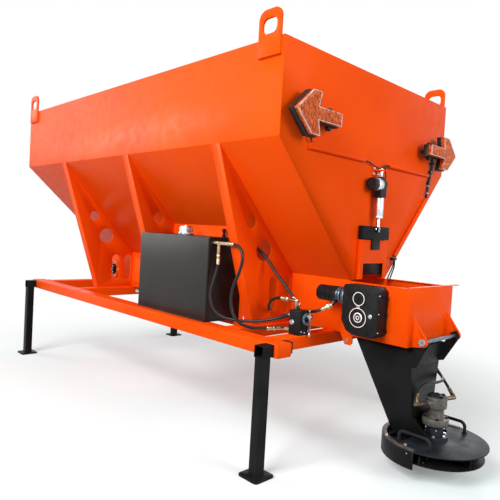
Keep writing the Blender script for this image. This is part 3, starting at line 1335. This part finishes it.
# %% Dress the bearings
tail_low, tail_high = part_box("tail_shaft")
tail_y, tail_x = (tail_low.y + tail_high.y) / 2, tail_high.x - 0.030
steel, cast = bmesh.new(), bmesh.new()
for side, x, y in ((1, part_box("drive_shaft")[1].x - 0.030, HUB.y), (1, tail_x, tail_y),
                   (-1, tail_x, tail_y)):
    turn_profile(cast, (side * (x + 0.026), y, HUB.z), X * side,
                 [(0.021, -0.002), (0.034, -0.001), (0.036, 0.002), (0.033, 0.005), (0.021, 0.005)],
                 30)
    for dy, dz in circle_of(4, 0.042, math.pi / 4):
        hex_bolt(steel, (side * (x + 0.026), y + dy, HUB.z + dz), X * side, 0.009, washer=False)
    turn_profile(steel, (side * (x + 0.030), y, HUB.z), X * side,
                 [(0.0198, -0.002), (0.0180, 0.0015), (0.004, 0.0015), (0.003, -0.001),
                  (0, -0.001)], 26)
for side in LEFT_AND_RIGHT:
    for dy, dz in circle_of(6, 0.078):
        hex_bolt(steel, (side * tail_x, tail_y + dy, HUB.z + dz), X * side, 0.011)
smooth(new_piece("bearing_bolts", steel, bright_steel, "frame"))
smooth(new_piece("bearing_seals", cast, black_casting, "frame"))
print("tail shaft at y", round(tail_y, 3))

# %% [markdown]
# ## Conveyor chain
# The two chains of the floor conveyor are roller chains. The steel model has them as plain bands,
# so side plates and rollers are laid on the upper run, where they show from above.

# %% Lay the chain links
CHAIN_PITCH, CHAIN_X = 0.050, 0.130
LINK = [(-0.030, -0.004), (-0.024, 0.004), (-0.010, 0.0025), (0.010, 0.0025), (0.024, 0.004),
        (0.030, -0.004)]
chain_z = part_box("conveyor")[1].z - 0.002
first, last = HUB.y + 0.02, tail_y - 0.02
links = bmesh.new()
for side in LEFT_AND_RIGHT:
    for i in range(int((last - first) / CHAIN_PITCH)):
        y = first + i * CHAIN_PITCH
        for edge in (-1, 1):
            x = side * CHAIN_X + edge * (0.0125 if i % 2 else 0.0160)
            plate = [[links.verts.new((x + dx, y + a, chain_z + b)) for a, b in LINK]
                     for dx in (-0.0014, 0.0014)]
            links.faces.new(plate[0])
            links.faces.new(plate[1])
            strip(links, plate)
        turn_profile(links, (side * CHAIN_X - 0.0115, y + CHAIN_PITCH / 2, chain_z), X,
                     [(0, 0), (0.0050, 0), (0.0050, 0.023), (0, 0.023)], 8)
new_piece("conveyor_links", links, conveyor_steel, "frame")
print("links a side:", int((last - first) / CHAIN_PITCH))

# %% [markdown]
# ## Welds on the hopper and the frame
# The hopper is welded sheet. Beads run where the ribs meet the frame, where the lifting eyes meet
# the side bands, and where the rear cross tube meets the rails. All are under the same orange
# paint, so they show only as a soft ripple.

# %% Run the weld beads
RIB_STATIONS = (0.490, 1.550, 2.610)     # metres forward of the rear wall
EYE_STATIONS = (0.105, 3.345)
FRAME_TOP, TROUGH_X, RAIL_X = 0.751, 0.2055, 0.743
beads = bmesh.new()
for station in RIB_STATIONS:
    y = REAR_WALL_Y + station - 0.001
    for side in LEFT_AND_RIGHT:
        weld(beads, (side * 0.565, y, FRAME_TOP), (side * 0.215, y, FRAME_TOP), Vector((0, -1, 1)),
             0.004)
        weld(beads, (side * TROUGH_X, y, 0.760), (side * TROUGH_X, y, 1.080), Vector((side, -1, 0)),
             0.004)
for station in EYE_STATIONS:
    y = REAR_WALL_Y + station
    for side in LEFT_AND_RIGHT:
        x = side * (HALF_WIDTH + 0.001)
        for end in (-1, 1):
            edge = y + end * 0.086
            weld(beads, (x, edge, RIM_Z - 0.100), (x, edge, RIM_Z - 0.006), Vector((side, end, 0)),
                 0.005)
        weld(beads, (x, y - 0.080, RIM_Z - 0.104), (x, y + 0.080, RIM_Z - 0.104),
             Vector((side, 0, -1)), 0.005)
for side in LEFT_AND_RIGHT:
    start, end = [(side * RAIL_X, REAR_WALL_Y + station, FRAME_TOP) for station in (0.101, 0.199)]
    weld(beads, start, end, Z, 0.004)
print("corners in the beads:", len(beads.verts))
smooth(new_piece("weld_beads", beads, orange, "frame"), 60)

# %% [markdown]
# ## Cable clamps
# Steel bands and a saddle clamp with two small screws hold the right lamp's cable on the rear wall.
# The bands are short turned rings round the cable, which is the quickest way to a clean band.

# %% Fit the cable clamps
clamps = bmesh.new()
for x, z in ((0.742, 1.8905), (0.722, 1.8055)):
    turn_profile(clamps, (x, REAR_WALL_Y - 0.0135, z), Z,
                 [(0.0118, 0.004), (0.0128, 0.005), (0.0128, 0.014), (0.0118, 0.015)], 22)
for x, z in ((0.705, 1.730), (0.716, 1.785)):
    turn_profile(clamps, (x, REAR_WALL_Y - 0.013, z), Vector((0.24, 0, 1)),
                 [(0.0098, 0), (0.0112, 0.001), (0.0112, 0.007), (0.0098, 0.008)], 20)
for x in (0.729, 0.753):
    cap_screw(clamps, (x, REAR_WALL_Y - 0.025, 1.900), -Y, 0.005)
smooth(new_piece("loom_clamps", clamps, dull_steel, "frame"))
print("clamps fitted")
